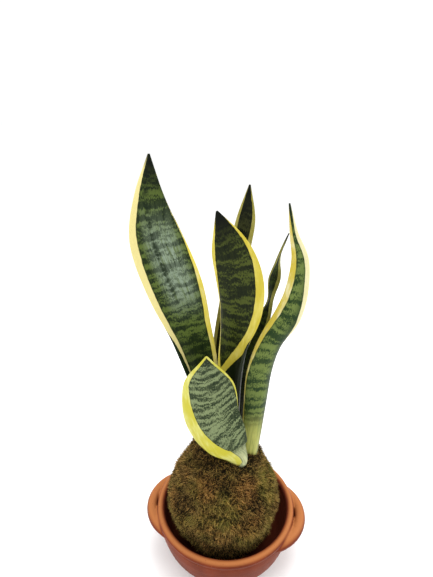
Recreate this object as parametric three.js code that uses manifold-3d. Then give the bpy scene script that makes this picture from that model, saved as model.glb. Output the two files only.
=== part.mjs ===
// A snake plant kokedama: six variegated leaves on a rhizome, potted in a ball of soil that is
// wrapped in sheet moss and stands in a fired clay dish with two lug handles.
// Millimetres, +Z up. The origin is the centre of the dish's foot, on the table.
// +X is the plant's right and -Y its front.
import * as THREE from 'three';
import { mergeVertices } from 'three/addons/utils/BufferGeometryUtils.js';
import Module from 'manifold-3d';

const wasm = await Module();
wasm.setup();

// ---- Driving dimensions ----------------------------------------------------------------------

const GAP = 0.3; // clearance between pieces that touch
const WATER_GAP = 5.5; // between the ball and the dish's lip, to water through

const DISH = {
  height: 60,
  footRadius: 43,
  floor: 9, // clay under the ball
  wall: 6,
  lip: 7.5, // thickness of the rolled lip, both ways
};

const HANDLE = {
  turns: [-11, 175], // where each handle's middle is, in degrees from +X, seen from above
  spread: 31, // half the arc of rim between a handle's two ends, in degrees
  reach: 11.8, // how far it stands out past the lip
  drop: 9, // from the rim down to the middle of the clay coil
  thick: 10.4, // across the coil, sideways
  tall: 10, // across the coil, up and down
};

const BALL = {
  radius: 57,
  belly: 66, // height of the widest level above the table
  seatRadius: 22, // flat that its own weight presses on the dish's floor
  shoulder: 48.5, // radius where the ball turns into the neck
  shoulderHeight: 104,
  neck: 33.5, // radius of the neck, where it turns in over the soil
  neckHeight: 132,
  mouth: 18, // radius of the hole that the leaves stand in
  mouthHeight: 141,
  moss: 6, // thickness of the moss sheet
  soilCrown: 1.5, // how far the soil stands above the moss sheet's mouth
};

const ROOT_DEPTH = 20; // from the mouth down to where the leaves join the rhizome
const KNUCKLE = 6.5; // radius of the rhizome under each leaf
const RHIZOME = 4.5; // radius of the rhizome between them
const ROOT = 1.5; // radius of a root

// Faceting
const RIM_SEGMENTS = 44;
const BALL_SEGMENTS = 28;
const LEAF_AROUND = 14;

// Each leaf, from its root to its tip. "line" is its midrib: x, y, and height above the leaf joint.
// "width" is the blade's width measured along its curve. "faces" is the way its upper face looks,
// in degrees from +X. "curl" is how far its left and right halves curl towards that face, in degrees.
// A row has one value for each point of the line.
const LEAVES = {
  leaf_tall: {
    line: [
      [-11, 9, 0], [-18, 8, 48], [-26, 5, 98], [-32.5, 3, 137],
      [-43, 0, 176], [-55.5, -2, 216], [-59, -5, 248], [-57, -8, 283],
    ],
    width: [15, 30, 37, 38.5, 46, 42.5, 25.5, 1.6],
    faces: [-58, -64, -72, -80, -86, -90, -92, -92],
    curl: [[80, 60], [100, 50], [85, 35], [45, 20], [22, -10], [16, -25], [12, -15], [0, 0]],
    thick: 4.6,
  },
  leaf_middle: {
    line: [
      [5, 4, 0], [6, 3, 45], [7, 1, 90], [9, -1, 124],
      [11, -3, 156], [8.5, -5, 186], [1, -7, 214], [-9, -7, 242],
    ],
    width: [14, 24, 30, 34, 40, 40, 30, 1.6],
    faces: [-110, -108, -104, -100, -96, -92, -90, -88],
    curl: [[50, 70], [45, 110], [40, 140], [-30, 125], [-45, 60], [-38, 20], [-25, 10], [0, 0]],
    thick: 4.2,
  },
  leaf_back: {
    line: [
      [-4, 16, 0], [-7, 18, 45], [-7, 20, 85], [-3.5, 23, 118], [2, 26, 150],
      [7, 28, 180], [11.5, 30, 205], [15.5, 31, 228], [18, 31, 255],
    ],
    width: [12, 16, 18, 19, 20, 20, 18.5, 16, 1.4],
    faces: [-80, -80, -82, -84, -86, -88, -88, -88, -88],
    curl: [
      [70, 70], [60, 60], [45, 45], [40, 40], [35, 35],
      [25, 25], [20, 20], [20, 5], [0, 0],
    ],
    thick: 3.6,
  },
  leaf_slender: {
    line: [
      [15, 11, 0], [14, 13, 40], [17, 15, 80], [20.5, 17, 101], [27, 18, 125],
      [33.5, 19, 142], [37.5, 19, 158], [40, 19, 178], [43, 19, 197], [50, 17, 218],
    ],
    width: [12, 17, 21, 21, 17, 12, 7.5, 12, 5.5, 1.2],
    faces: [-140, -140, -130, -125, -115, -100, -60, -75, -40, -10],
    curl: [
      [60, 60], [60, 60], [55, 55], [50, 50], [45, 45],
      [40, 40], [40, 60], [30, 40], [20, 20], [0, 0],
    ],
    thick: 3.2,
  },
  leaf_right: {
    line: [
      [24, -10, 0], [27, -11, 36], [30, -10, 70], [33, -7, 100], [39, -4, 126],
      [50, -1, 148], [57, 2, 170], [58.5, 4, 198], [52, 5, 221], [47, 6, 245],
    ],
    width: [17, 25, 31, 33, 28, 26, 21, 15, 7, 1.4],
    faces: [118, 118, 118, 116, 108, 98, 94, 92, 90, 90],
    curl: [
      [80, 40], [85, 45], [90, 45], [80, 40], [50, 30],
      [20, 20], [15, 20], [15, 20], [10, 10], [0, 0],
    ],
    thick: 4.4,
  },
  leaf_front: {
    line: [
      [10, -18, 0], [6, -25, 18], [-4, -29, 33], [-12, -31, 52],
      [-16, -32, 76], [-15.5, -33, 106], [-17, -38, 135],
    ],
    width: [13, 28, 49, 57, 52, 41, 1.6],
    faces: [70, 72, 76, 80, 84, 86, 86],
    curl: [[30, 30], [25, 35], [20, 40], [20, 45], [20, 40], [15, 25], [0, 0]],
    thick: 4.4,
  },
  dry_sheath: {
    line: [[11, -8, 0], [11, -9, 12], [10.5, -10, 22], [10, -11, 31]],
    width: [10, 10, 7, 1.2],
    faces: [60, 60, 60, 60],
    curl: [[40, 40], [40, 40], [35, 35], [0, 0]],
    thick: 1.6,
  },
};

// Roots: the leaf that each one starts under, the way it heads in degrees from +X, how far it
// spreads towards the skin of the soil and how deep it goes towards the floor, from 0 to 1.
const ROOTS = [
  { from: 'leaf_tall', heads: 165, spread: 0.9, depth: 0.3 },
  { from: 'leaf_tall', heads: 100, spread: 0.7, depth: 0.42 },
  { from: 'leaf_back', heads: 70, spread: 0.8, depth: 0.34 },
  { from: 'leaf_slender', heads: 25, spread: 0.9, depth: 0.26 },
  { from: 'leaf_middle', heads: -150, spread: 0.6, depth: 0.46 },
  { from: 'leaf_front', heads: -75, spread: 0.9, depth: 0.37 },
  { from: 'leaf_right', heads: -35, spread: 0.8, depth: 0.44 },
];

// ---- Solids ----------------------------------------------------------------------------------

// A closed geometry with only its merged positions.
function bare(geometry) {
  geometry.deleteAttribute('normal');
  geometry.deleteAttribute('uv');
  return mergeVertices(geometry, 1e-4);
}

// A closed geometry as a manifold-3d solid, and back.
function solid(geometry) {
  const g = bare(geometry.clone());
  return new wasm.Manifold(new wasm.Mesh({
    numProp: 3,
    vertProperties: g.attributes.position.array,
    triVerts: new Uint32Array(g.index.array),
  }));
}

function geometryOf(made) {
  const mesh = made.getMesh();
  const geometry = new THREE.BufferGeometry();
  geometry.setAttribute('position', new THREE.BufferAttribute(mesh.vertProperties, 3));
  geometry.setIndex(new THREE.BufferAttribute(mesh.triVerts, 1));
  geometry.computeVertexNormals();
  return geometry;
}

// The solid without the crumbs that a cut may leave beside it.
function largest(made) {
  return made.decompose().reduce((best, piece) => (piece.volume() > best.volume() ? piece : best));
}

// A round tube along a curve, with flat ends.
function tube(curve, radius, steps, sides) {
  const ring = new THREE.Shape().absarc(0, 0, radius, 0, 2 * Math.PI);
  return new THREE.ExtrudeGeometry(ring, {
    steps,
    curveSegments: sides / 2,
    extrudePath: curve,
    bevelEnabled: false,
  });
}

// A profile of [radius, height] points turned about Z.
function turned(profile, segments) {
  const points = profile.map(([r, z]) => new THREE.Vector2(r, z));
  return new THREE.LatheGeometry(points, segments).rotateX(Math.PI / 2);
}

// The points of a smooth line through [radius, height] points.
function smooth(points, steps) {
  const line = new THREE.SplineCurve(points.map(([r, z]) => new THREE.Vector2(r, z)));
  return line.getPoints(steps).map((p) => [p.x, p.y]);
}

// ---- Dish ------------------------------------------------------------------------------------

const LIP_BASE = DISH.height - DISH.lip; // where the lip starts
const THROAT = BALL.radius + WATER_GAP; // inside radius of the lip
const RIM = THROAT + DISH.lip; // outside radius of the lip
const BODY_TOP = THROAT + DISH.wall; // outside radius of the wall under the lip

// The dish's section, from the middle of its foot round to the middle of its floor: a bowed wall
// outside, the rolled lip, and a bowl inside that flattens into the floor.
function dishOutline() {
  const flare = BODY_TOP - DISH.footRadius;
  const outside = smooth([
    [DISH.footRadius, 0],
    [DISH.footRadius + 0.36 * flare, 0.13 * LIP_BASE],
    [DISH.footRadius + 0.74 * flare, 0.42 * LIP_BASE],
    [BODY_TOP - 1.2, 0.78 * LIP_BASE],
    [BODY_TOP, LIP_BASE - 1],
  ], 7);
  const lip = [];
  const roll = DISH.lip / 2;
  for (let degrees = -60; degrees <= 240; degrees += 50) {
    const turn = THREE.MathUtils.degToRad(degrees);
    lip.push([THROAT + roll + roll * Math.cos(turn), DISH.height - roll + roll * Math.sin(turn)]);
  }
  const depth = LIP_BASE - DISH.floor;
  const floorRadius = DISH.footRadius - DISH.wall - 1;
  const inside = smooth([
    [THROAT + 0.5, LIP_BASE - 1],
    [THROAT - 2, DISH.floor + 0.7 * depth],
    [THROAT - 0.3 * (THROAT - floorRadius), DISH.floor + 0.35 * depth],
    [floorRadius + 6, DISH.floor + 0.08 * depth],
    [floorRadius - 2, DISH.floor],
  ], 7);
  return [[0, 0], ...outside, ...lip, ...inside, [0, DISH.floor]];
}

// A coil of clay, bent into a bow and luted to the wall under the lip at both ends. Its ends are
// sunk into the wall, and the bow is fuller than a cosine's so that it hugs the lip.
function handle(middleTurn) {
  const middle = RIM + HANDLE.reach - HANDLE.thick / 2;
  const end = BODY_TOP - DISH.wall / 2 - 1;
  const fullness = 0.8;
  const bow = [-1, -0.72, -0.36, 0, 0.36, 0.72, 1].map((share) => {
    const out = end + (middle - end) * Math.cos(share * Math.PI / 2) ** fullness;
    const turn = THREE.MathUtils.degToRad(middleTurn + share * HANDLE.spread);
    return new THREE.Vector3(out * Math.cos(turn), out * Math.sin(turn), DISH.height - HANDLE.drop);
  });
  const coil = new THREE.Shape().absellipse(0, 0, HANDLE.tall / 2, HANDLE.thick / 2, 0, 2 * Math.PI);
  const options = { steps: 14, curveSegments: 5, bevelEnabled: false };
  options.extrudePath = new THREE.CatmullRomCurve3(bow);
  return new THREE.ExtrudeGeometry(coil, options);
}

// The handles' ends are trimmed to the bowl's inside before they join the wall.
function dish() {
  const body = solid(turned(dishOutline(), RIM_SEGMENTS));
  const inside = solid(turned([
    [0, DISH.floor],
    [DISH.footRadius - DISH.wall - 3, DISH.floor],
    [THROAT - 8, DISH.floor + 14],
    [THROAT - 2, LIP_BASE],
    [THROAT - 2, DISH.height + 1],
    [0, DISH.height + 1],
  ], RIM_SEGMENTS));
  const [right, left] = HANDLE.turns.map((turn) => solid(handle(turn)));
  return geometryOf(right.add(left).subtract(inside).add(body));
}

// ---- Moss and soil ---------------------------------------------------------------------------

const SEAT = DISH.floor + GAP; // height of the ball's flat seat

// The ball's outside from its seat to the mouth of the moss, as [radius, height], and the same line
// moved inwards by a margin.
function ballOutline(inset) {
  const rise = BALL.belly - SEAT;
  const line = new THREE.SplineCurve([
    [BALL.seatRadius, SEAT],
    [0.73 * BALL.radius, SEAT + 0.3 * rise],
    [BALL.radius, BALL.belly],
    [0.95 * BALL.radius, BALL.belly + 0.45 * (BALL.shoulderHeight - BALL.belly)],
    [BALL.shoulder, BALL.shoulderHeight],
    [0.5 * (BALL.shoulder + BALL.neck) - 1, 0.5 * (BALL.shoulderHeight + BALL.neckHeight)],
    [BALL.neck, BALL.neckHeight],
    [0.5 * (BALL.neck + BALL.mouth) + 1, 0.3 * BALL.neckHeight + 0.7 * BALL.mouthHeight],
    [BALL.mouth, BALL.mouthHeight],
  ].map(([r, z]) => new THREE.Vector2(r, z)));
  const steps = 11;
  return Array.from({ length: steps + 1 }, (_, i) => {
    const at = line.getPoint(i / steps);
    const along = line.getTangent(i / steps);
    return [at.x - inset * along.y, at.y + inset * along.x];
  });
}

// The hand-packed ball isn't round: this is the share by which it swells at a turn and a height.
// Low down it leans out to its left and right, and its front is tucked in.
function swell(turn, height) {
  const up = Math.min(1, Math.max(0, (height - SEAT) / (BALL.mouthHeight - SEAT)));
  const middle = Math.sin(Math.PI * up);
  const low = Math.sin(Math.PI * Math.min(1, 3 * up)) ** 2;
  return 1 + middle * (0.02 * Math.cos(turn - 2.8) + 0.018 * Math.cos(2 * turn + 0.6)
    + 0.012 * Math.cos(3 * turn + 9 * up))
    + low * (0.04 * Math.cos(turn - 2.8) + 0.05 * Math.cos(2 * turn));
}

function handPacked(geometry) {
  const place = geometry.attributes.position;
  for (let i = 0; i < place.count; i += 1) {
    const [x, y, z] = [place.getX(i), place.getY(i), place.getZ(i)];
    const k = swell(Math.atan2(y, x), z);
    place.setXYZ(i, x * k, y * k, z);
  }
  return geometry;
}

function mossWrap() {
  const outer = ballOutline(0);
  const inner = ballOutline(BALL.moss).reverse();
  const profile = [[0, SEAT], ...outer, ...inner, [0, SEAT + BALL.moss]];
  return handPacked(turned(profile, BALL_SEGMENTS));
}

function soilBall() {
  const inset = BALL.moss + GAP;
  const crown = [[0.6 * BALL.mouth, BALL.mouthHeight], [0, BALL.mouthHeight + BALL.soilCrown]];
  return handPacked(turned([[0, SEAT + inset], ...ballOutline(inset), ...crown], BALL_SEGMENTS));
}

// ---- Leaves ----------------------------------------------------------------------------------

const JOINT_HEIGHT = BALL.mouthHeight - ROOT_DEPTH; // where the leaves join the rhizome

function midrib(leaf) {
  const points = leaf.line.map(([x, y, up]) => new THREE.Vector3(x, y, JOINT_HEIGHT + up));
  return new THREE.CatmullRomCurve3(points, false, 'catmullrom', 0.5);
}

// A blade as a closed tube, bent and flattened: its section is a thin lens whose two halves curl
// towards the upper face. "grow" makes it that much larger all round, for cutting its socket.
function blade(leaf, grow = 0) {
  const rib = midrib(leaf);
  const row = (values) => new THREE.CatmullRomCurve3(values, false, 'catmullrom', 0.5);
  const sizes = row(leaf.width.map((w, i) => new THREE.Vector3(w, leaf.faces[i], 0)));
  const curls = row(leaf.curl.map(([left, right]) => new THREE.Vector3(left, right, 0)));
  const stations = 3 * (leaf.line.length - 1);
  const geometry = bare(new THREE.CylinderGeometry(1, 1, 1, LEAF_AROUND, stations));
  const place = geometry.attributes.position;
  for (let i = 0; i < place.count; i += 1) {
    const along = place.getY(i) + 0.5;
    const across = Math.hypot(place.getX(i), place.getZ(i)); // 0 at a cap's middle, 1 on the skin
    const round = Math.atan2(place.getZ(i), place.getX(i));

    const tangent = rib.getTangent(along);
    const size = sizes.getPoint(along);
    const turn = THREE.MathUtils.degToRad(size.y);
    const face = new THREE.Vector3(Math.cos(turn), Math.sin(turn), 0);
    face.addScaledVector(tangent, -face.dot(tangent)).normalize();
    const right = new THREE.Vector3().crossVectors(tangent, face); // seen from the upper face

    const side = Math.cos(round) * across; // -1 at the left edge, 1 at the right
    const curl = curls.getPoint(along);
    const bend = THREE.MathUtils.degToRad(side < 0 ? curl.x : curl.y);
    const half = Math.max(0.4, size.x / 2) + grow;
    const angle = bend * Math.abs(side);
    const out = Math.abs(bend) < 1e-3 ? half * Math.abs(side) : half / bend * Math.sin(angle);
    const lift = Math.abs(bend) < 1e-3 ? 0 : half / bend * (1 - Math.cos(angle));
    const sign = Math.sign(side);

    // The blade is thickest near its root, and never thicker than it is wide.
    const body = Math.min(leaf.thick * (1 - 0.45 * along), 0.8 * size.x) / 2 + grow;
    const proud = body * Math.sin(round) * across;
    const at = rib.getPoint(along);
    at.addScaledVector(right, sign * out - sign * proud * Math.sin(angle));
    at.addScaledVector(face, lift + proud * Math.cos(angle));
    if (grow > 0 && along < 1e-6) at.addScaledVector(tangent, -grow);
    place.setXYZ(i, at.x, at.y, at.z);
  }
  return geometry;
}

// ---- Rhizome and roots -----------------------------------------------------------------------

function jointOf(leaf) {
  const rib = midrib(leaf);
  return rib.getPoint(0).addScaledVector(rib.getTangent(0), -KNUCKLE - GAP);
}

function ball(at, radius) {
  return solid(new THREE.SphereGeometry(radius, 8, 6).translate(at.x, at.y, at.z));
}

// A root's line, which stays inside the soil between the rhizome and the moss.
function rootPath(root, grow) {
  const start = jointOf(LEAVES[root.from]);
  const turn = THREE.MathUtils.degToRad(root.heads);
  const way = new THREE.Vector3(Math.cos(turn), Math.sin(turn), 0);
  const skin = 0.9 * BALL.shoulder - BALL.moss;
  const run = root.spread * (skin - start.dot(way));
  const fall = root.depth * (start.z - SEAT - BALL.moss);
  const at = (out, down) => start.clone().addScaledVector(way, out).setZ(start.z - down);
  return new THREE.CatmullRomCurve3([
    start,
    at(0.55 * run, 0.2 * fall),
    at(run, 0.6 * fall),
    at(0.85 * run, fall + grow),
  ]);
}

// The rhizome runs from leaf to leaf, with a knuckle under each, and its roots hang from them.
function rhizome(grow = 0) {
  const order = ['leaf_front', 'leaf_right', 'leaf_slender', 'leaf_middle', 'leaf_back', 'leaf_tall'];
  const joints = order.map((name) => jointOf(LEAVES[name]));
  let made = solid(tube(new THREE.CatmullRomCurve3(joints), RHIZOME + grow, 14, 6));
  joints.forEach((at) => {
    made = made.add(ball(at, KNUCKLE + grow));
  });
  ROOTS.forEach((root) => {
    const path = rootPath(root, grow);
    made = made.add(solid(tube(path, ROOT + grow, 5, 4)));
  });
  return made;
}

// ---- The plant in its dish -------------------------------------------------------------------

const clay = new THREE.MeshStandardMaterial({ color: 0xb4632f, roughness: 0.62, metalness: 0 });
const moss = new THREE.MeshStandardMaterial({ color: 0x4a4a22, roughness: 0.95, metalness: 0 });
const soil = new THREE.MeshStandardMaterial({ color: 0x2b2118, roughness: 0.95, metalness: 0 });
const root = new THREE.MeshStandardMaterial({ color: 0xcf9a4e, roughness: 0.7, metalness: 0 });
const husk = new THREE.MeshStandardMaterial({ color: 0x4a2216, roughness: 0.8, metalness: 0 });
const leafSkin = new THREE.MeshStandardMaterial({ color: 0x4f6b3a, roughness: 0.4, metalness: 0 });

const plant = new THREE.Group();

function place(name, geometry, material) {
  const mesh = new THREE.Mesh(geometry, material);
  mesh.name = name;
  plant.add(mesh);
}

// The soil is packed round the rhizome and the feet of the leaves, and the moss gives way to them.
const burrow = rhizome(GAP);
let packedSoil = solid(soilBall()).subtract(burrow);
let tiedMoss = solid(mossWrap()).subtract(burrow);
Object.entries(LEAVES).forEach(([name, leaf]) => {
  const socket = solid(blade(leaf, GAP));
  packedSoil = packedSoil.subtract(socket);
  tiedMoss = tiedMoss.subtract(socket);
  place(name, blade(leaf), name === 'dry_sheath' ? husk : leafSkin);
});

place('terracotta_dish', dish(), clay);
place('moss_wrap', geometryOf(largest(tiedMoss)), moss);
place('soil_ball', geometryOf(largest(packedSoil)), soil);
place('rhizome_and_roots', geometryOf(rhizome()), root);

export default plant;
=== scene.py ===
import math
import random

import bmesh
import bpy
import numpy as np
from mathutils import Matrix, Vector, noise


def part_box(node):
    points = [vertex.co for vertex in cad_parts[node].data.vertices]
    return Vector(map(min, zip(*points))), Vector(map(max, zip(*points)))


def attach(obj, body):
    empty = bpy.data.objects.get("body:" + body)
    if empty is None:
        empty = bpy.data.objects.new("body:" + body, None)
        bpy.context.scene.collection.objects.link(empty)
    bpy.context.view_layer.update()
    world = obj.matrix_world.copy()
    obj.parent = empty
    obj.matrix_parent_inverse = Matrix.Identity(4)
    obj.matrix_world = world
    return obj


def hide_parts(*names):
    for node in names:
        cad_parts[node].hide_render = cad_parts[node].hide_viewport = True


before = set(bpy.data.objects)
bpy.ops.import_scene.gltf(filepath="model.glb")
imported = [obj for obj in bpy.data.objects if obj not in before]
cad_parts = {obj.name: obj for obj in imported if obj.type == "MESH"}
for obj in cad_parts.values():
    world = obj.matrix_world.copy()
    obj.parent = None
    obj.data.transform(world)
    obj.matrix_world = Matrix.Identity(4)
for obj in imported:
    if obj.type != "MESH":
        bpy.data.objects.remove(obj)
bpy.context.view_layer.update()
scene = bpy.context.scene
MM = 0.001


# ---- Camera, floor and light -------------------------------------------------------------
# A small table studio. The camera looks down on the plant from a little above its tallest
# leaf, the floor is a plain pale sweep, and three soft boxes and a pale sky light it.

CAMERA_PLACE = (-9.2 * MM, -326 * MM, 436 * MM)
CAMERA_DOWN = 23.05  # degrees below level
CAMERA_LENS = 27
FLOOR_HALF = 12  # metres from its middle to its edge
FLOOR_PAPER = (0.97, 0.97, 0.97)
SKY = (1, 1, 1, 1)
SKY_STRENGTH = 1.04
SOFT_BOXES = {  # place, size, power
    "overhead": ((0.05, 0.15, 1.1), 0.8, 7),
    "front_left": ((-0.8, -0.6, 0.8), 0.6, 4),
    "right_rim": ((0.9, 0.15, 0.6), 0.5, 4),
}
LAMPS_AIM = Vector((0, 0, 150 * MM))

camera = bpy.data.objects.new("camera", bpy.data.cameras.new("camera"))
camera.data.lens = CAMERA_LENS
camera.data.clip_start = 0.01
camera.location = CAMERA_PLACE
camera.rotation_euler = (math.radians(90 - CAMERA_DOWN), 0, 0)
scene.collection.objects.link(camera)
scene.camera = camera
scene.view_settings.view_transform = "Standard"


def shader(name, colour, roughness, gloss=0.2):
    """A material, and ways to add nodes and to join them to its principled shader. A node's
    input is given by its name, or as i0, i1 and so on where several have the same name."""
    made = bpy.data.materials.new(name)
    made.use_nodes = True
    tree = made.node_tree
    skin = tree.nodes["Principled BSDF"]
    skin.inputs["Base Color"].default_value = (*colour, 1)
    skin.inputs["Roughness"].default_value = roughness
    skin.inputs["Specular IOR Level"].default_value = gloss

    def node(kind, settings=None, **inputs):
        n = tree.nodes.new("ShaderNode" + kind)
        for key, value in (settings or {}).items():
            setattr(n, key, value)
        for key, value in inputs.items():
            slot = n.inputs[int(key[1:]) if key[1:].isdigit() else key]
            if isinstance(value, bpy.types.NodeSocket):
                tree.links.new(value, slot)
            else:
                slot.default_value = value
        return n

    def join(source, target):
        tree.links.new(source, skin.inputs[target])

    return made, node, join


paper, node, join = shader("pale_floor", FLOOR_PAPER, 0.9, 0.0)
bm = bmesh.new()
bmesh.ops.create_grid(bm, x_segments=2, y_segments=2, size=FLOOR_HALF)
floor_mesh = bpy.data.meshes.new("floor")
bm.to_mesh(floor_mesh)
bm.free()
floor_mesh.materials.append(paper)
floor = bpy.data.objects.new("floor", floor_mesh)
scene.collection.objects.link(floor)

for name, (place, size, power) in SOFT_BOXES.items():
    lamp = bpy.data.objects.new(name, bpy.data.lights.new(name, "AREA"))
    lamp.data.size = size
    lamp.data.energy = power
    lamp.location = place
    lamp.rotation_euler = (LAMPS_AIM - lamp.location).to_track_quat("-Z", "Y").to_euler()
    scene.collection.objects.link(lamp)

sky = bpy.data.worlds.new("sky")
sky.use_nodes = True
sky.node_tree.nodes["Background"].inputs[0].default_value = SKY
sky.node_tree.nodes["Background"].inputs[1].default_value = SKY_STRENGTH
scene.world = sky


# ---- Clay dish ---------------------------------------------------------------------------
# A thrown terracotta dish with a rolled lip. Two coils of clay are bent into bows and luted
# under the lip as lug handles, and their ends are smoothed into the wall with a wet finger.

dish_low, dish_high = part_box("terracotta_dish")
RIM = dish_high.y  # outside radius of the lip
DISH_TALL = dish_high.z
LIP = 7.5 * MM
WALL = 6 * MM
DISH_FLOOR = 9 * MM  # height of the floor inside
FOOT = 43 * MM  # radius of the foot
THROAT = RIM - LIP  # inside radius of the lip
WALL_TOP = DISH_TALL - LIP
TURNS = 144  # facets round the dish
HANDLE_TURNS = (-11, 175)  # degrees from +X
HANDLE_SPREAD = 34  # half the arc between a handle's ends
HANDLE_REACH = 11.8 * MM  # how far a handle stands out past the lip
HANDLE_THICK = 10.8 * MM
HANDLE_TALL = 11 * MM
HANDLE_DROP = 9 * MM  # from the top of the lip to the middle of the coil
HANDLE_SIDES = 20  # facets round a coil
WEB_DROP = 5 * MM  # a thin web of clay under the slit between a handle and the lip
WEB_THICK = 5 * MM
CLAY_VOXEL = 1.0 * MM
CLAY = (0.165, 0.031, 0.011)
CLAY_DARK = (0.115, 0.020, 0.007)
# Paler clay for the painted highlight on the tops of the lip and handles
CLAY_HIGHLIGHT = (0.42, 0.155, 0.050)
# Darker clay inside the bowl: moist clay, and painted shade
CLAY_DAMP_AND_SHADE = (0.13, 0.028, 0.014)
CLAY_SPECK = (0.26, 0.075, 0.026)


def maths(node, operation, *values, clamp=False):
    """The result of one Math node."""
    named = {f"i{i}": v for i, v in enumerate(values)}
    return node("Math", {"operation": operation, "use_clamp": clamp}, **named).outputs[0]


def total(node, first, second):
    return maths(node, "ADD", first, second)


def product(node, first, second):
    return maths(node, "MULTIPLY", first, second)


def swing(node, share, reach):
    """A share from 0 to 1 as a swing to either side, reach from end to end."""
    return product(node, maths(node, "SUBTRACT", share, 0.5), reach)


def left_over(node, share):
    """What a share leaves of the whole."""
    return maths(node, "SUBTRACT", 1.0, share)


def fade(node, value, low, high):
    """0 below low, 1 above high, and smooth between them."""
    n = node("MapRange", {"interpolation_type": "SMOOTHSTEP"}, Value=value)
    n.inputs["From Min"].default_value = low
    n.inputs["From Max"].default_value = high
    return n.outputs[0]


def mixed(node, share, first, second):
    """Two colours mixed by a share; a colour is a socket or (r, g, b)."""
    n = node("Mix", {"data_type": "RGBA"})
    for slot, value in ((0, share), (6, first), (7, second)):
        if isinstance(value, bpy.types.NodeSocket):
            n.id_data.links.new(value, n.inputs[slot])
        else:
            n.inputs[slot].default_value = (*value, 1) if slot else value
    return n.outputs[2]


def grain(node, place, size, detail=2.0, roughness=0.55, stretch=(1, 1, 1), shift=(0, 0, 0)):
    """Noise whose features are about size metres across, stretched along each axis."""
    scaled = node("Mapping", {}, Vector=place, Scale=stretch, Location=shift).outputs[0]
    n = node("TexNoise", {}, Vector=scaled, Scale=1 / size, Detail=detail, Roughness=roughness)
    return n.outputs["Fac"]


def bumped(node, join, height, distance):
    """Turns a height into the surface's bump, distance metres deep."""
    n = node("Bump", {}, Height=height, Strength=1.0, Distance=distance)
    join(n.outputs[0], "Normal")


def finished(name, bm, material, replaces):
    """A smooth piece from its bmesh: an object at the origin that rides on the plant."""
    mesh = bpy.data.meshes.new(name)
    bm.to_mesh(mesh)
    bm.free()
    mesh.polygons.foreach_set("use_smooth", [True] * len(mesh.polygons))
    mesh.materials.append(material)
    piece = bpy.data.objects.new(name, mesh)
    scene.collection.objects.link(piece)
    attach(piece, "root")
    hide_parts(*replaces)


def clipped(value):
    return max(0.0, min(1.0, value))


def smooth_line(points, steps, closed=False):
    """A smooth line through points, steps to a span. Points may be whole rows of points."""
    p = np.asarray(points, float)
    count = len(p)
    spans = count if closed else count - 1
    out = []
    for i in range(spans):
        ids = [i - 1, i, i + 1, i + 2]
        ids = [k % count for k in ids] if closed else [min(max(k, 0), count - 1) for k in ids]
        a, b, c, d = p[ids]
        for t in np.arange(steps) / steps:
            out.append(0.5 * (2 * b + (c - a) * t + (2 * a - 5 * b + 4 * c - d) * t * t
                              + (3 * b - a - 3 * c + d) * t ** 3))
    if not closed:
        out.append(p[-1])
    return np.array(out)


def dish_profile():
    """[radius, height] from the middle of the foot, round the lip, to the middle of the floor."""
    top = THROAT + WALL
    flare = top - FOOT
    outside = smooth_line([
        (FOOT, 1 * MM), (FOOT + 0.36 * flare, 0.13 * WALL_TOP),
        (FOOT + 0.74 * flare, 0.42 * WALL_TOP), (top - 1.2 * MM, 0.78 * WALL_TOP),
        (top, WALL_TOP - 1 * MM),
    ], 9)
    turns = np.radians(np.arange(-60, 241, 15))
    lip = np.stack([THROAT + LIP / 2 * (1 + np.cos(turns)),
                    DISH_TALL - LIP / 2 * (1 - np.sin(turns))], axis=1)
    inner_floor = FOOT - WALL - 1 * MM
    deep = WALL_TOP - DISH_FLOOR
    inside = smooth_line([
        (THROAT + 0.5 * MM, WALL_TOP - 1 * MM), (THROAT - 2 * MM, DISH_FLOOR + 0.7 * deep),
        (THROAT - 0.3 * (THROAT - inner_floor), DISH_FLOOR + 0.35 * deep),
        (inner_floor + 6 * MM, DISH_FLOOR + 0.08 * deep), (inner_floor - 2 * MM, DISH_FLOOR),
    ], 9)
    foot = [(0, 0), (0.6 * FOOT, 0), (FOOT - 1 * MM, 0)]
    middle = [(0.4 * inner_floor, DISH_FLOOR), (0, DISH_FLOOR)]
    return np.concatenate([foot, outside, lip, inside, middle])


def turned(bm, profile, steps):
    """Spins a [radius, height] line about the upright axis into a closed skin."""
    line = [bm.verts.new((r, 0, z)) for r, z in profile]
    edges = [bm.edges.new(pair) for pair in zip(line, line[1:])]
    bmesh.ops.spin(bm, geom=line + edges, cent=(0, 0, 0), axis=(0, 0, 1), angle=2 * math.pi,
                   steps=steps, use_merge=True)
    bmesh.ops.remove_doubles(bm, verts=bm.verts, dist=1e-6)
    bmesh.ops.recalc_face_normals(bm, faces=bm.faces)


def swept(bm, path, section, around):
    """A closed tube round a path; section(share) gives its half width and half height."""
    ring = bmesh.ops.create_circle(bm, cap_ends=True, segments=around, radius=1)["verts"]
    made = list(ring)
    edges = list({e for v in ring for e in v.link_edges})
    for _ in path[1:]:
        grown = bmesh.ops.extrude_edge_only(bm, edges=edges)["geom"]
        ring = [g for g in grown if isinstance(g, bmesh.types.BMVert)]
        edges = [g for g in grown if isinstance(g, bmesh.types.BMEdge)
                 and all(v in ring for v in g.verts)]
        bmesh.ops.translate(bm, verts=ring, vec=(0, 0, 1))
        made += ring
    bmesh.ops.contextual_create(bm, geom=edges)
    last = len(path) - 1
    for v in made:
        k = round(v.co.z)
        at = Vector(path[k])
        ahead = (Vector(path[min(k + 1, last)]) - Vector(path[max(k - 1, 0)])).normalized()
        out = Vector((at.x, at.y, 0)).normalized()
        out = (out - ahead * out.dot(ahead)).normalized()
        up = ahead.cross(out)
        wide, tall = section(k / last)
        v.co = at + out * (v.co.x * wide) + up * (v.co.y * tall)


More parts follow.
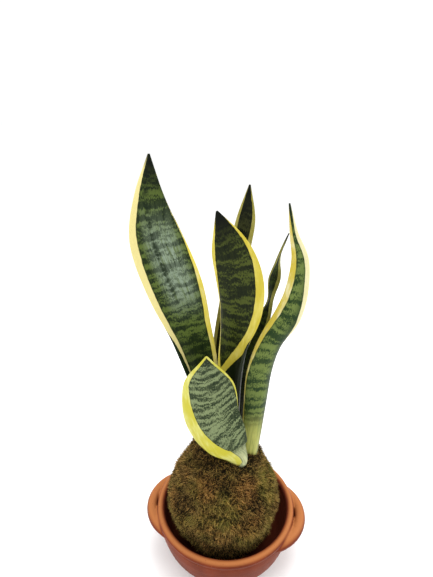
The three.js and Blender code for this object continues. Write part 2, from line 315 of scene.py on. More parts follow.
def handle_path(middle_turn, inwards=0.0, lower=0.0):
    """The bow of one handle, from inside the wall, out past the lip, and back."""
    out_most = RIM + HANDLE_REACH - HANDLE_THICK / 2 - inwards
    sunk = THROAT + WALL / 2
    path = []
    for share in np.linspace(-1, 1, 33):
        reach = sunk + (out_most - sunk) * math.cos(share * math.pi / 2)
        turn = math.radians(middle_turn + share * HANDLE_SPREAD)
        path.append((reach * math.cos(turn), reach * math.sin(turn),
                     DISH_TALL - HANDLE_DROP - lower))
    return path


def handle_section(share):
    """The coil thins at its two ends, where it is smeared into the wall."""
    smeared = abs(2 * share - 1) ** 4
    return HANDLE_THICK / 2 * (1 - 0.25 * smeared), HANDLE_TALL / 2 * (1 - 0.4 * smeared)


def web_section(share):
    """The web is wide and thin, and dies away into the wall at its ends."""
    smeared = abs(2 * share - 1) ** 4
    return 1.3 * WEB_THICK * (1 - 0.7 * smeared), WEB_THICK / 2 * (1 - 0.7 * smeared)


def remeshed(bm, voxel, rounds):
    """The bmesh as one even skin, fused where its parts cross, and rubbed smooth."""
    mesh = bpy.data.meshes.new("raw")
    bm.to_mesh(mesh)
    bm.free()
    raw = bpy.data.objects.new("raw", mesh)
    scene.collection.objects.link(raw)
    fused = raw.modifiers.new("fused", "REMESH")
    fused.mode = "VOXEL"
    fused.voxel_size = voxel
    rubbed = raw.modifiers.new("rubbed", "SMOOTH")
    rubbed.factor = 0.5
    rubbed.iterations = rounds
    even = raw.evaluated_get(bpy.context.evaluated_depsgraph_get()).to_mesh()
    out = bmesh.new()
    out.from_mesh(even)
    bpy.data.objects.remove(raw)
    return out


bm = bmesh.new()
turned(bm, dish_profile(), TURNS)
for middle_turn in HANDLE_TURNS:
    for path, section in ((handle_path(middle_turn), handle_section),
                          (handle_path(middle_turn, HANDLE_THICK / 2, WEB_DROP), web_section)):
        coil = bmesh.new()
        swept(coil, path, section, HANDLE_SIDES)
        bmesh.ops.recalc_face_normals(coil, faces=coil.faces)
        spare = bpy.data.meshes.new("coil")
        coil.to_mesh(spare)
        coil.free()
        bm.from_mesh(spare)
dish = remeshed(bm, CLAY_VOXEL, 4)

# Inside the bowl the clay is darker: moist clay, and painted shade. On the up-facing tops of the
# lip and handles it is paler: a painted highlight.
damp = dish.verts.layers.float.new("damp")
rubbed = dish.verts.layers.float.new("rubbed")
dish.normal_update()
for v in dish.verts:
    r = math.hypot(v.co.x, v.co.y)
    facing_in = -(v.normal.x * v.co.x + v.normal.y * v.co.y) / max(r, 1e-6)
    in_bowl = r < THROAT + 1.5 * MM and v.co.z > DISH_FLOOR - 1 * MM
    v[damp] = 1.0 if in_bowl and (facing_in > 0.05 or v.normal.z > 0.5) else 0.0
    # The rubbed layer holds a painted highlight: paler clay on up-facing tops outside the throat.
    up_facing = clipped(1.7 * v.normal.z - 0.55)
    v[rubbed] = clipped((r - THROAT - 1 * MM) / (3 * MM)) * up_facing

terracotta, node, join = shader("fired_terracotta", CLAY, 0.5, 0.05)
where = node("TexCoord").outputs["Object"]
wet_and_shaded = node("Attribute", {"attribute_name": "damp"}).outputs["Fac"]
paler_share = node("Attribute", {"attribute_name": "rubbed"}).outputs["Fac"]
blotches = grain(node, where, 22 * MM, 4)
speckle = grain(node, where, 1.3 * MM, 3)
rings = grain(node, where, 3.2 * MM, 2, stretch=(0.12, 0.12, 1))
colour = mixed(node, fade(node, blotches, 0.35, 0.7), CLAY, CLAY_DARK)
# Painted highlight on the tops of the lip and handles.
colour = mixed(node, product(node, paler_share, 0.85), colour, CLAY_HIGHLIGHT)
colour = mixed(node, fade(node, speckle, 0.62, 0.72), colour, CLAY_SPECK)
# Inside the bowl, darker clay: moist clay, and painted shade.
inside_darkening = total(node, wet_and_shaded, swing(node, blotches, 0.5))
colour = mixed(node, fade(node, inside_darkening, 0.35, 0.85), colour, CLAY_DAMP_AND_SHADE)
join(colour, "Base Color")
join(total(node, product(node, speckle, 0.25), 0.32), "Roughness")
height = total(node, product(node, rings, 0.8), product(node, speckle, 0.35))
bumped(node, join, height, 0.35 * MM)
finished("clay_dish", dish, terracotta, ["terracotta_dish"])


# ---- Rhizome, roots and soil -------------------------------------------------------------
# The leaves join a thick orange rhizome with a few roots, packed in a ball of dark akadama
# and peat. The soil is pressed round them by hand and shows at the mouth of the moss.

ROOT_SKIN = (0.62, 0.3, 0.09)
ROOT_BARK = (0.32, 0.15, 0.05)
PEAT = (0.022, 0.014, 0.008)
CRUMB = (0.075, 0.045, 0.024)
SOIL_SHRINK = 0.9  # the soil has dried away from the moss
SOIL_VOXEL = 1.6 * MM
SOIL_LUMPS = [(9 * MM, 0.5 * MM, 3), (2.5 * MM, 0.7 * MM, 5)]  # size, depth, seed


def painted(node_name, material):
    """A CAD node that keeps its shape gets its finish here."""
    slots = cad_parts[node_name].data.materials
    slots.clear()
    slots.append(material)


rootskin, node, join = shader("rhizome_skin", ROOT_SKIN, 0.7)
where = node("TexCoord").outputs["Object"]
fibre = grain(node, where, 1.5 * MM, 4, stretch=(1, 1, 0.3))
join(mixed(node, fade(node, fibre, 0.35, 0.7), ROOT_SKIN, ROOT_BARK), "Base Color")
bumped(node, join, fibre, 0.3 * MM)
painted("rhizome_and_roots", rootskin)


def merged_copy(node_name):
    """A CAD node's mesh as a bmesh of joined faces; the node itself is left alone."""
    bm = bmesh.new()
    bm.from_mesh(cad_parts[node_name].data)
    bmesh.ops.remove_doubles(bm, verts=bm.verts, dist=1e-6)
    return bm


def roughened(bm, lumps):
    """Pushes the skin in and out along its normals; lumps are (size, depth, seed)."""
    bm.normal_update()
    moves = []
    for v in bm.verts:
        push = sum(depth * noise.noise(v.co / size + Vector((seed, 0, 0)))
                   for size, depth, seed in lumps)
        moves.append(v.normal * push)
    for v, move in zip(bm.verts, moves):
        v.co += move


soil = remeshed(merged_copy("soil_ball"), SOIL_VOXEL, 2)
bmesh.ops.scale(soil, verts=soil.verts, vec=(SOIL_SHRINK, SOIL_SHRINK, 1))
roughened(soil, SOIL_LUMPS)
earth, node, join = shader("packed_peat", PEAT, 0.95)
where = node("TexCoord").outputs["Object"]
crumbs = grain(node, where, 1.8 * MM, 5, 0.7)
join(mixed(node, fade(node, crumbs, 0.42, 0.72), PEAT, CRUMB), "Base Color")
bumped(node, join, crumbs, 0.9 * MM)
finished("soil", soil, earth, ["soil_ball"])


# ---- Leaves ------------------------------------------------------------------------------
# Six stiff, fleshy blades of a yellow-edged snake plant, each grown from the rhizome. A
# blade is a thin lens across, curls along its length, and tapers to a dark hard point.
# The yellow margins are strips of leaf without green, as wide as each leaf grew them.

AROUND = 14  # points round a section of a CAD blade
ACROSS_STEPS = 4  # steps that smooth a span across the leaf, and one along it
ALONG_STEPS = 6
RIPPLE = 0.35  # millimetres that a margin wanders to either side
RIPPLES = 45  # to a metre
FOOT_TOP = 0.26  # share of a leaf's length where its pale foot ends
# Grey of the painted reflection near the top of the tall leaf
SHEEN_GREY = (0.215, 0.275, 0.2)
DRY_TIP = (0.003, 0.004, 0.002)
DRY_MARGIN = (0.012, 0.014, 0.006)


def leaf_sections(node_name):
    """A CAD blade's sections from root to tip, each the points round it. A section starts at
    the right margin, runs along the front to the left margin, and comes back behind."""
    bm = merged_copy(node_name)
    ends = sorted((v for v in bm.verts if len(v.link_edges) == AROUND), key=lambda v: v.co.z)
    seen = {ends[0]}
    level = [ends[0]]
    rows = []
    while True:
        ring = {e.other_vert(v) for v in level for e in v.link_edges} - seen
        if len(ring) < AROUND:
            break
        walk = [min(ring, key=lambda v: v.index)]
        while len(walk) < AROUND:
            beside = [e.other_vert(walk[-1]) for e in walk[-1].link_edges]
            walk.append(next(v for v in beside if v in ring and v not in walk))
        rows.append(np.array([v.co for v in walk]))
        seen |= ring
        level = list(ring)
    tip = np.array(ends[-1].co)
    bm.free()
    for i in range(1, len(rows)):  # line each ring up with the one before
        turns = [np.roll(way, k, axis=0) for way in (rows[i], rows[i][::-1]) for k in range(AROUND)]
        shift = rows[i].mean(0) - rows[i - 1].mean(0)
        rows[i] = min(turns, key=lambda r: np.abs(r - shift - rows[i - 1]).sum())
    rows = np.array(rows)

    # The two margins are the points where the sections turn most sharply.
    before = rows - np.roll(rows, 1, axis=1)
    after = np.roll(rows, -1, axis=1) - rows
    cosine = (before * after).sum(2)
    cosine = cosine / np.linalg.norm(before, axis=2) / np.linalg.norm(after, axis=2)
    straight = cosine[2:-4].mean(0)  # the root and the tip are too round to tell
    half = AROUND // 2
    margin = min(range(half), key=lambda k: straight[k] + straight[k + half])
    rows = np.roll(rows, -margin, axis=1)
    if rows[:, 0, 0].mean() < rows[:, half, 0].mean():
        rows = np.roll(rows, half, axis=1)
    if rows[:, 1:half, 1].mean() > rows[:, half + 1:, 1].mean():
        rows = np.roll(rows[:, ::-1], 1, axis=1)
    return rows, tip


def along_leaf(values, shares):
    """Values given at even steps from root to tip, read off at shares of the length."""
    return np.interp(shares, np.linspace(0, 1, len(values)), values)


def blade(node_name, left, right, left_fold=(0,), right_fold=(0,), seed=0):
    """A fine closed skin over a CAD blade's own sections. It carries its place across and
    along the leaf, how far each point lies inside the yellow of a margin, in metres, and
    where the leaf is rolled under. left and right are the margins' widths in millimetres, at
    even steps from root to tip, as seen from the front of the plant, and the folds are how
    far in from the edge a margin lies, where the edge is rolled under."""
    rows, tip = leaf_sections(node_name)
    rows = smooth_line(rows, ALONG_STEPS)
    rows = np.array([smooth_line(r, ACROSS_STEPS, closed=True) for r in rows])
    count, around = rows.shape[:2]
    half = around // 2
    middle = rows.mean(1)
    run = np.concatenate([[0], np.cumsum(np.linalg.norm(np.diff(middle, axis=0), axis=1))])
    shares = run / run[-1]

    step = np.linalg.norm(np.roll(rows, -1, axis=1) - rows, axis=2)
    from_right = np.concatenate([np.zeros((count, 1)), np.cumsum(step, axis=1)], axis=1)
    front = from_right[:, half:half + 1]
    full = from_right[:, -1:]
    behind = (full - from_right) * front / (full - front)
    off_right = np.where(np.arange(around + 1) <= half, from_right, behind)
    off_left = front - off_right
    yellow = np.full(off_left.shape, -1.0)
    under = np.zeros(off_left.shape)
    for off, width, fold in ((off_left, left, left_fold), (off_right, right, right_fold)):
        width, fold = (along_leaf(values, shares)[:, None] * MM for values in (width, fold))
        yellow = np.maximum(yellow, np.minimum(fold + width - off, off - fold + 1 * MM))
        under = np.maximum(under, fold - off)
    across = off_left - front / 2

    # The thin margins ripple a little, as grown leaves do.
    flank = rows - middle[:, None]
    ripple = np.array([[noise.noise(Vector((r * RIPPLES, side * 7 + seed, seed)))
                        for side in (0, 1)] for r in run])
    edge = np.abs(across / np.maximum(front / 2, 1e-6)) ** 4
    pull = np.where(across > 0, ripple[:, 1:], ripple[:, :1]) * edge * RIPPLE * MM
    size = np.maximum(np.linalg.norm(flank, axis=2, keepdims=True), 1e-6)
    push = pull[:, :around, None]
    facing = np.cross(np.gradient(middle, axis=0), rows[:, half] - rows[:, 0])
    facing /= np.maximum(np.linalg.norm(facing, axis=1, keepdims=True), 1e-9)
    rows = rows + facing[:, None] * push + flank / size * push * 0.3

    bm = bmesh.new()
    bmesh.ops.create_grid(bm, x_segments=around, y_segments=count + 1, size=1)
    grown = bm.verts.layers.float_vector.new("blade")
    margin = bm.verts.layers.float.new("margin")
    rolled = bm.verts.layers.float.new("rolled")
    bm.verts.ensure_lookup_table()
    for v in bm.verts:
        i, j = divmod(v.index, around + 1)
        row = min(max(i - 1, 0), count - 1)
        if i == 0:
            v.co = middle[0]
        elif i == count + 1:
            v.co = tip
        else:
            v.co = rows[row, j % around]
        v[grown] = (across[row, j], run[row], shares[row])
        v[margin] = yellow[row, j]
        v[rolled] = min(1.0, under[row, j] / MM)
    bmesh.ops.remove_doubles(bm, verts=bm.verts, dist=2e-6)
    bmesh.ops.recalc_face_normals(bm, faces=bm.faces)
    return bm


def leaf_skin(name, light, dark, yellow, cream, seed, bands, tip_share, slant=0.0, fan=0.0,
              band_size=1.0, foot=None, painted_sheen=0.0, midrib=0.0, pale_side=0, painted_shade_side=0,
              painted_shade=0.0):
    """Waxy green skin with jagged dark cross bands and yellow margins. bands is how much of
    it is dark, slant and fan tilt the bands, tip_share is where the dry tip starts, foot is
    the pale colour low down, painted_sheen the strength of a grey painted reflection near the
    top, and midrib that of a dark line up the middle. The margin on pale_side is made paler,
    towards cream, and painted shade darkens the green by painted_shade towards
    painted_shade_side; sides are -1 for left and 1 for right."""
    skin, node, join = shader(name, light, 0.42, 0.09)
    grown = node("Attribute", {"attribute_name": "blade"}).outputs["Vector"]
    inside = node("Attribute", {"attribute_name": "margin"}).outputs["Fac"]
    rolled = node("Attribute", {"attribute_name": "rolled"}).outputs["Fac"]
    across, along, share = node("SeparateXYZ", {}, Vector=grown).outputs

    # Each fibre carries its bands a little higher or lower than its neighbour's.
    strands = node("CombineXYZ", {}, X=across, Y=product(node, along, 0.05)).outputs[0]
    fine = grain(node, strands, 0.9 * MM, 3, 0.7, shift=(seed, 0, 0))
    broad = grain(node, strands, 9 * MM, 2, shift=(seed, 1, 0))
    jag = total(node, swing(node, fine, 7 * MM), swing(node, broad, 6 * MM))
    tilt = total(node, product(node, across, slant),
                 product(node, product(node, across, across), fan))
    level = total(node, total(node, along, jag), tilt)
    flat = node("CombineXYZ", {}, X=across, Y=level, Z=0.0).outputs[0]
    wide = grain(node, flat, 5.2 * band_size * MM, 2, 0.5, stretch=(0.16, 1, 1),
                 shift=(seed, 3, 0))
    thin = grain(node, flat, 2.2 * band_size * MM, 2, 0.6, stretch=(0.25, 1, 1),
                 shift=(seed, 5, 0))
    mottle = grain(node, grown, 1.1 * MM, 3, 0.75, stretch=(1, 0.45, 0), shift=(seed, 7, 0))
    banding = total(node, product(node, wide, 0.62), product(node, thin, 0.38))
    banding = total(node, banding, swing(node, mottle, 0.42))
    middle = 0.5 + (0.5 - bands) * 0.22
    dark_share = fade(node, banding, middle - 0.05, middle + 0.05)
    green = mixed(node, dark_share, light, dark)
    streaks = grain(node, strands, 1.6 * MM, 4, 0.7, shift=(seed, 9, 0))
    green = mixed(node, product(node, fade(node, streaks, 0.3, 0.75), 0.35), green,
                  tuple(0.55 * c for c in light))

    # A painted reflection of the sky: a grey sheen in one patch near the top, thinner over the dark
    # bands.
    if painted_sheen:
        off = maths(node, "ABSOLUTE", maths(node, "SUBTRACT", across, 4 * MM))
        patch = product(node, fade(node, share, 0.5, 0.64),
                        left_over(node, fade(node, share, 0.74, 0.9)))
        patch = product(node, patch, left_over(node, fade(node, off, 6 * MM, 17 * MM)))
        grey = product(node, patch, fade(node, streaks, 0.3, 0.55))
        grey = product(node, grey, left_over(node, product(node, dark_share, 0.6)))
        green = mixed(node, product(node, grey, painted_sheen), green, SHEEN_GREY)

    # A dark broken line up the middle of the upper half.
    if midrib:
        wander = swing(node, broad, 5 * MM)
        off = maths(node, "ABSOLUTE", total(node, total(node, across, 2 * MM), wander))
        vein = product(node, left_over(node, fade(node, off, 0.5 * MM, 3 * MM)),
                       fade(node, share, 0.5, 0.66))
        vein = product(node, vein, fade(node, thin, 0.36, 0.56))
        green = mixed(node, product(node, vein, midrib), green, dark)

    # A pale foot with a few green streaks left in it.
    if foot:
        low = total(node, share, swing(node, fine, 0.05))
        sapless = product(node, fade(node, streaks, 0.42, 0.62), 0.55)
        green = mixed(node, left_over(node, fade(node, low, 0.12, FOOT_TOP)), green,
                      mixed(node, sapless, foot, light))
    # Painted shade: the green darkens towards one side, where the blade turns from the light.
    if painted_shade:
        aside = fade(node, product(node, across, painted_shade_side), 0.5 * MM, 9 * MM)
        green = mixed(node, product(node, aside, painted_shade), green, dark)
    ripe = total(node, share, swing(node, fine, 0.03))
    green = mixed(node, fade(node, ripe, tip_share - 0.09, tip_share + 0.02), green, DRY_TIP)
    # Painted shade: where the edge is rolled under, the green is darkened.
    green = mixed(node, rolled, green, tuple(1.6 * c for c in dark))

    # The margin: cream to golden, with faint dark threads, and a dark line just inside it.
    paler_share = grain(node, grown, 7 * MM, 3, stretch=(1, 0.35, 0), shift=(seed, 11, 0))
    gold = mixed(node, fade(node, paler_share, 0.4, 0.75), yellow, cream)
    # A paler, creamier margin on one side; on the tall leaf it is a painted highlight.
    if pale_side:
        pale = fade(node, product(node, across, pale_side), 0.0, 1 * MM)
        gold = mixed(node, product(node, pale, 0.85), gold, cream)
    gold = mixed(node, product(node, fade(node, fine, 0.6, 0.75), 0.3), gold,
                 tuple(0.6 * c for c in yellow))
    gold = mixed(node, fade(node, ripe, tip_share - 0.01, tip_share + 0.04), gold, DRY_MARGIN)
    border = total(node, inside, swing(node, fine, 1.4 * MM))
    rim = fade(node, border, -0.15 * MM, 0.25 * MM)
    shadow = maths(node, "SUBTRACT", fade(node, border, -1.6 * MM, -0.1 * MM), rim)
    green = mixed(node, maths(node, "MULTIPLY", shadow, 0.55, clamp=True), green, dark)
    join(mixed(node, rim, green, gold), "Base Color")

    join(total(node, product(node, mottle, 0.22), 0.3), "Roughness")
    ridges = grain(node, strands, 1.3 * MM, 2, 0.5, shift=(seed, 13, 0))
    height = total(node, product(node, ridges, 0.7), product(node, mottle, 0.3))
    bumped(node, join, height, 0.22 * MM)
    return skin


# The tall leaf shows its upper face. Near its top a grey sheen is painted in, a painted reflection
# of the sky, and its left margin is painted paler, a painted highlight.
# Low down it rolls inwards, and the rolled strip is darkened with painted shade.
tall_skin = leaf_skin("tall_leaf_skin", light=(0.085, 0.122, 0.024), dark=(0.006, 0.014, 0.004),
                      yellow=(0.6, 0.5, 0.07), cream=(0.68, 0.6, 0.27), seed=1.0, bands=0.56,
                      tip_share=0.965, painted_sheen=0.95, midrib=0.85, pale_side=-1)
tall = blade("leaf_tall", [1, 1, 1, 1.2, 3.2, 6.2, 7, 5, 1],
             [2, 2, 2.5, 3, 3.8, 3.2, 0.6, 0, 0],
             left_fold=[9, 9, 9, 7, 2, 0, 0, 0, 0], seed=1)
finished("leaf_tall_blade", tall, tall_skin, ["leaf_tall"])

# The middle leaf's green is painted darkest, painted shade for the shadow it stands in. Its right
# half rolls over, and low down shows its back, darkened with painted shade.
middle_skin = leaf_skin("middle_leaf_skin", light=(0.058, 0.074, 0.012),
                        dark=(0.004, 0.007, 0.002), yellow=(0.5, 0.41, 0.045),
                        cream=(0.62, 0.54, 0.13), seed=2.0, bands=0.56, tip_share=0.95)
middle = blade("leaf_middle", [3, 3, 3, 2.5, 0.6, 0.3, 2, 3, 0],
               [2, 2, 2.5, 4, 9, 9.5, 7.5, 3.5, 0],
               right_fold=[28, 28, 28, 28, 28, 28, 24, 15, 6, 1.5] + [0] * 7, seed=2)
finished("leaf_middle_blade", middle, middle_skin, ["leaf_middle"])

# The back leaf stands behind the others, with even margins of a duller yellow.
back_skin = leaf_skin("back_leaf_skin", light=(0.030, 0.034, 0.009), dark=(0.004, 0.006, 0.002),
                      yellow=(0.27, 0.24, 0.045), cream=(0.42, 0.38, 0.12), seed=3.0,
                      bands=0.5, tip_share=0.97)
back = blade("leaf_back", [4, 4, 4, 4, 4, 4, 4, 3, 0.5], [4, 4, 4, 4, 4, 4, 4, 3, 0.5], seed=3)
finished("leaf_back_blade", back, back_skin, ["leaf_back"])

# The slender leaf is a young one, in the shade of its neighbours: its colours are painted dark,
# painted shade.
slender_skin = leaf_skin("slender_leaf_skin", light=(0.026, 0.042, 0.008),
                         dark=(0.006, 0.010, 0.004), yellow=(0.2, 0.19, 0.04),
                         cream=(0.3, 0.29, 0.09), seed=4.0, bands=0.5, tip_share=0.95)
slender = blade("leaf_slender", [1, 1, 1, 1, 1, 1, 0.5, 1.5, 1],
                [1, 1, 1.5, 2, 2.5, 3, 4, 3, 1], seed=4)
finished("leaf_slender_blade", slender, slender_skin, ["leaf_slender"])

# The right leaf is bright on the left of its fold and painted darker on the right, painted shade
# where it turns from the light, over a pale foot.
right_skin = leaf_skin("right_leaf_skin", light=(0.135, 0.185, 0.045),
                       dark=(0.010, 0.030, 0.008), yellow=(0.5, 0.4, 0.055),
                       cream=(0.68, 0.64, 0.38), seed=5.0, bands=0.5, tip_share=0.97,
                       band_size=1.2, foot=(0.4, 0.4, 0.1), pale_side=1, painted_shade_side=1, painted_shade=0.8)
right = blade("leaf_right", [1.5, 1.5, 1.5, 2, 4, 6, 6, 4, 0.3],
              [0.5, 0.5, 0.5, 1, 2.5, 4.5, 5, 3.5, 0.3], seed=5)
finished("leaf_right_blade", right, right_skin, ["leaf_right"])

# The short front leaf shows the back of its blade, where the bands fan out.
front_skin = leaf_skin("front_leaf_skin", light=(0.19, 0.235, 0.11), dark=(0.008, 0.018, 0.005),
                       yellow=(0.47, 0.43, 0.04), cream=(0.6, 0.6, 0.2), seed=6.0, bands=0.52,
                       tip_share=1.0, slant=-0.45, fan=-12.0, band_size=0.7,
                       foot=(0.5, 0.52, 0.28))
front = blade("leaf_front", [3, 22, 31, 25, 17, 10, 5, 3, 1.5],
              [0.5, 0.5, 0.5, 0.5, 0.5, 1, 2, 2.5, 2], seed=6)
finished("leaf_front_blade", front, front_skin, ["leaf_front"])


# ---- Dry sheath --------------------------------------------------------------------------
# A papery brown scale that once wrapped a young shoot, left standing between two leaves.

HUSK = (0.075, 0.018, 0.010)
HUSK_VEIN = (0.2, 0.075, 0.035)

husk, node, join = shader("dry_sheath_skin", HUSK, 0.8)
grown = node("Attribute", {"attribute_name": "blade"}).outputs["Vector"]
veins = grain(node, grown, 0.8 * MM, 4, 0.7, stretch=(1, 0.08, 0))
join(mixed(node, fade(node, veins, 0.4, 0.7), HUSK, HUSK_VEIN), "Base Color")
bumped(node, join, veins, 0.3 * MM)
scale = blade("dry_sheath", [0, 0], [0, 0], seed=7)
finished("dry_sheath_scale", scale, husk, ["dry_sheath"])


# ---- Moss wrap ---------------------------------------------------------------------------
# Sheets of living moss pressed round the soil by hand. Under the fronds is a felt of dead
# brown moss, dented by fingers. Fresh fronds are olive and old ones rust.

moss_low, moss_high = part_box("moss_wrap")
MOUTH = moss_high.z
SEAT = moss_low.z
BELLY_UP = 66  # millimetres to the middle of the ball
BELLY = BELLY_UP * MM
MOSS_VOXEL = 1.7 * MM
MOSS_LUMPS = [(17 * MM, 2.2 * MM, 11), (5 * MM, 1.0 * MM, 13), (2 * MM, 0.5 * MM, 17)]
FELT_BACK = 2.8 * MM  # how far the felt lies inside the wrap, to leave room for the fronds
FELT_BACK_OVER = 50 * MM  # height over which it draws back, up from where the ball sits
RIGHT_BACK = 2.4  # millimetres more on the right, where the ball was pressed flatter
SHOULDER_BACK = 3  # millimetres more again at its right shoulder
SHOULDER_OVER = 40 * MM
NECK = 24 * MM  # the shaded neck starts this far below the mouth
NECK_OVER = 20 * MM
UNDER = 60 * MM  # below this height the ball shades itself
UNDER_OVER = 30 * MM

# Both faces of the wrap move the same way, so that the felt keeps its thickness.
moss = remeshed(merged_copy("moss_wrap"), MOSS_VOXEL, 3)
for v in moss.verts:
    out = Vector((v.co.x, v.co.y, v.co.z - BELLY)).normalized()
    pressed = clipped((v.co.z - SEAT) / FELT_BACK_OVER)
    shoulder = clipped((v.co.z - BELLY) / SHOULDER_OVER)
    further = (RIGHT_BACK + SHOULDER_BACK * shoulder) * MM * max(0.0, out.x)
    v.co -= out * pressed * (FELT_BACK + further)
roughened(moss, MOSS_LUMPS)

# Some patches are rustier, greener or more shaded than the rest.
BALL_OUT = 56  # millimetres from the axis to the patches at the belly
BALL_NARROWS = 0.008  # and how soon the ball narrows above and below it
PATCHES = [  # turn in degrees from +X, height in mm, reach in mm, rust, green, shade
    (-120, 113, 15, 1.0, 0, 0),
    (-66, 111, 17, 1.3, 0, 0),
    (-66, 82, 14, 0.8, 0, 0),
    (-164, 84, 13, 0.7, 0, 0),
    (-98, 80, 14, 0.4, 0, 0),
    (-22, 102, 24, 0, 1.1, 0),
    (-94, 100, 20, 0, 0.7, 0),
    (-92, 118, 9, 0, 0, 0.7),
    (-146, 90, 15, 0, 0, 0.9),
    (-52, 96, 13, 0, 0, 1.0),
    (-128, 62, 14, 0, 0, 0.5),
    (-94, 52, 22, 0, 0, 0.5),
    (60, 80, 26, 0.9, 0, 0),
    (120, 70, 24, 0, 0.8, 0),
    (160, 95, 18, 0.7, 0, 0),
    (90, 50, 18, 0, 0, 0.7),
    (20, 50, 20, 0.5, 0.3, 0),
]
SPOTS = []
for turn, up, reach, *hues in PATCHES:
    t = math.radians(turn)
    out = BALL_OUT - BALL_NARROWS * (up - BELLY_UP) ** 2
    SPOTS.append((Vector((out * math.cos(t), out * math.sin(t), up)) * MM, reach * MM, hues))


def moss_tone(at):
    """How rusty, how green and how shaded the moss is at a point, each from 0 to 1."""
    rust = 0.2 + 0.5 * noise.noise(at / (12 * MM) + Vector((5, 0, 0)))
    green = 0.4 + 0.6 * noise.noise(at / (15 * MM) + Vector((9, 4, 0)))
    shade = 0.52 + 0.4 * noise.noise(at / (9 * MM) + Vector((0, 7, 3)))
    shade += 0.7 * noise.noise(at / (3.2 * MM) + Vector((2, 0, 8)))
    for spot, reach, (rustier, greener, darker) in SPOTS:
        near = max(0.0, 1 - (at - spot).length / reach) ** 0.7
        rust += rustier * near
        green += greener * near - 0.5 * darker * near
        shade += darker * near
    neck = clipped((at.z - MOUTH + NECK) / NECK_OVER)
    under = clipped((UNDER - at.z) / UNDER_OVER)
    shade += 0.7 * neck + 0.35 * under
    return [clipped(k) for k in (rust * (1 - 0.6 * neck), green * (1 - 0.4 * neck), shade)]


FROND_TIP = (0.62, 0.52, 0.2)


def moss_skin(name, young, old, rust, shade, rough):
    """Moss colours, driven by the tone carried in the mesh, brighter at the fronds' tips."""
    made, node, join = shader(name, young, rough, 0.03)
    where = node("TexCoord").outputs["Object"]
    tone = node("Attribute", {"attribute_name": "tone"}).outputs["Vector"]
    rusty, greenish, shaded = node("SeparateXYZ", {}, Vector=tone).outputs
    tip = node("Attribute", {"attribute_name": "tip"}).outputs["Fac"]
    speck = grain(node, where, 0.9 * MM, 4, 0.8)
    specked = fade(node, speck, 0.35, 0.6)
    colour = mixed(node, greenish, old, young)
    colour = mixed(node, product(node, rusty, specked), colour, rust)
    colour = mixed(node, product(node, shaded, 0.95), colour, shade)
    lit = product(node, product(node, tip, left_over(node, shaded)), specked)
    colour = mixed(node, lit, colour, mixed(node, 0.5, colour, FROND_TIP))
    join(colour, "Base Color")
    bumped(node, join, speck, 0.5 * MM)
    return made


felt = moss_skin("moss_felt", young=(0.022, 0.019, 0.005), old=(0.016, 0.011, 0.004),
                 rust=(0.05, 0.021, 0.006), shade=(0.004, 0.003, 0.002), rough=0.95)
fronds = moss_skin("moss_fronds", young=(0.34, 0.31, 0.05), old=(0.32, 0.19, 0.055),
                   rust=(0.74, 0.3, 0.08), shade=(0.012, 0.009, 0.005), rough=0.75)

# Fronds root on the outside of the felt, and are shorter where it is shaded.
FRONDS = 84000
FROND_PIECES = 7
FROND_LONG = (2.5, 7)  # millimetres
FROND_WIDE = (0.2, 0.42)  # millimetres from the middle to a corner
FROND_ROOT = 0.5 * MM  # how deep a frond is rooted
FROND_LEAN = (0.1, 1.5)
FROND_SAG = Vector((0, 0, -0.25))
FROND_BOW = (-0.3, 0.5)
LUCK = (0.55, -0.15, -0.45, -0.6)  # how much fresher or more withered than its neighbours

moss.normal_update()
tone = moss.verts.layers.float_vector.new("tone")
tip = moss.verts.layers.float.new("tip")
for v in moss.verts:
    v[tone] = moss_tone(v.co)
    v[tip] = 0.0
chance = random.Random(41)
ground = []
weights = []
for f in moss.faces:
    at = f.calc_center_median()
    outward = f.normal.dot(Vector((at.x, at.y, 0.6 * (at.z - BELLY))).normalized())
    if outward > 0.15 and at.z > SEAT + 1 * MM:
        ground.append(f)
        weights.append(f.calc_area())
chosen = chance.choices(ground, weights, k=FRONDS)


def one_frond():
    """A frond of unit length and width along +Z: a thin tapered spike of three sides, with
    points halfway up to bend it at. Returns its points and its faces."""
    bm = bmesh.new()
    bmesh.ops.create_cone(bm, cap_ends=True, segments=3, radius1=1, radius2=0.15, depth=1,
                          matrix=Matrix.Translation((0, 0, 0.5)))
    flanks = [e for e in bm.edges if abs(e.verts[0].co.z - e.verts[1].co.z) > 0.5]
    bmesh.ops.subdivide_edges(bm, edges=flanks, cuts=1)
    bmesh.ops.recalc_face_normals(bm, faces=bm.faces)
    bm.verts.index_update()
    points = np.array([v.co for v in bm.verts])
    faces = [[v.index for v in f.verts] for f in bm.faces]
    bm.free()
    return points, faces


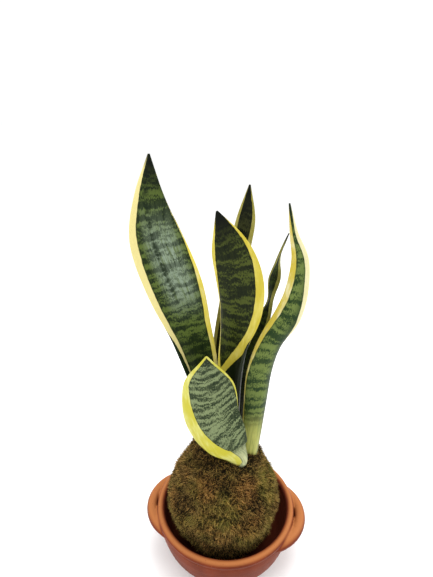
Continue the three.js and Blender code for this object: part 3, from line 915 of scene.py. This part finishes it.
def planted(name, roots, material):
    """Many copies of one frond, each at its root: (place, normal, length, width, tones). A
    frond leans and sags away from the felt, and bows over along its length."""
    points, faces = one_frond()
    count = len(points)
    places, tones = [], []
    for at, normal, long, wide, tone in roots:
        side = normal.orthogonal().normalized()
        side.rotate(Matrix.Rotation(chance.uniform(0, 2 * math.pi), 3, normal))
        lean = (normal + side * chance.uniform(*FROND_LEAN) + FROND_SAG).normalized()
        across = np.array(lean.cross(side).normalized())
        third = np.cross(across, lean)
        bow = third * (long * chance.uniform(*FROND_BOW)) * points[:, 2:3] ** 2
        places.append(np.outer(points[:, 0] * wide, third) + np.outer(points[:, 1] * wide, across)
                      + np.outer(points[:, 2] * long - FROND_ROOT, lean) + np.array(at) + bow)
        tones.append(np.tile(tone, (count, 1)))
    mesh = bpy.data.meshes.new(name)
    all_faces = [[i + k * count for i in f] for k in range(len(roots)) for f in faces]
    mesh.from_pydata(np.concatenate(places).tolist(), [], all_faces)
    mesh.attributes.new("tone", "FLOAT_VECTOR", "POINT").data.foreach_set(
        "vector", np.concatenate(tones).ravel())
    mesh.attributes.new("tip", "FLOAT", "POINT").data.foreach_set(
        "value", np.tile(points[:, 2], len(roots)))
    mesh.materials.append(material)
    piece = bpy.data.objects.new(name, mesh)
    scene.collection.objects.link(piece)
    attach(piece, "root")


for piece in range(FROND_PIECES):
    roots = []
    for f in chosen[piece::FROND_PIECES]:
        corners = [v.co for v in f.verts]
        a, b = chance.random(), chance.random()
        at = corners[0].lerp(corners[1], a).lerp(corners[-1].lerp(corners[-2], a), b)
        rusty, greenish, shaded = moss_tone(at)
        luck = chance.choice(LUCK)
        tones = [rusty + 0.5 * luck, greenish + chance.gauss(0, 0.2), shaded - luck]
        long = chance.uniform(*FROND_LONG) * (1 - 0.45 * shaded) * MM
        wide = chance.uniform(*FROND_WIDE) * MM
        roots.append((at, f.normal.copy(), long, wide, [clipped(k) for k in tones]))
    planted(f"moss_fronds_{piece + 1}", roots, fronds)
finished("moss_felt", moss, felt, ["moss_wrap"])
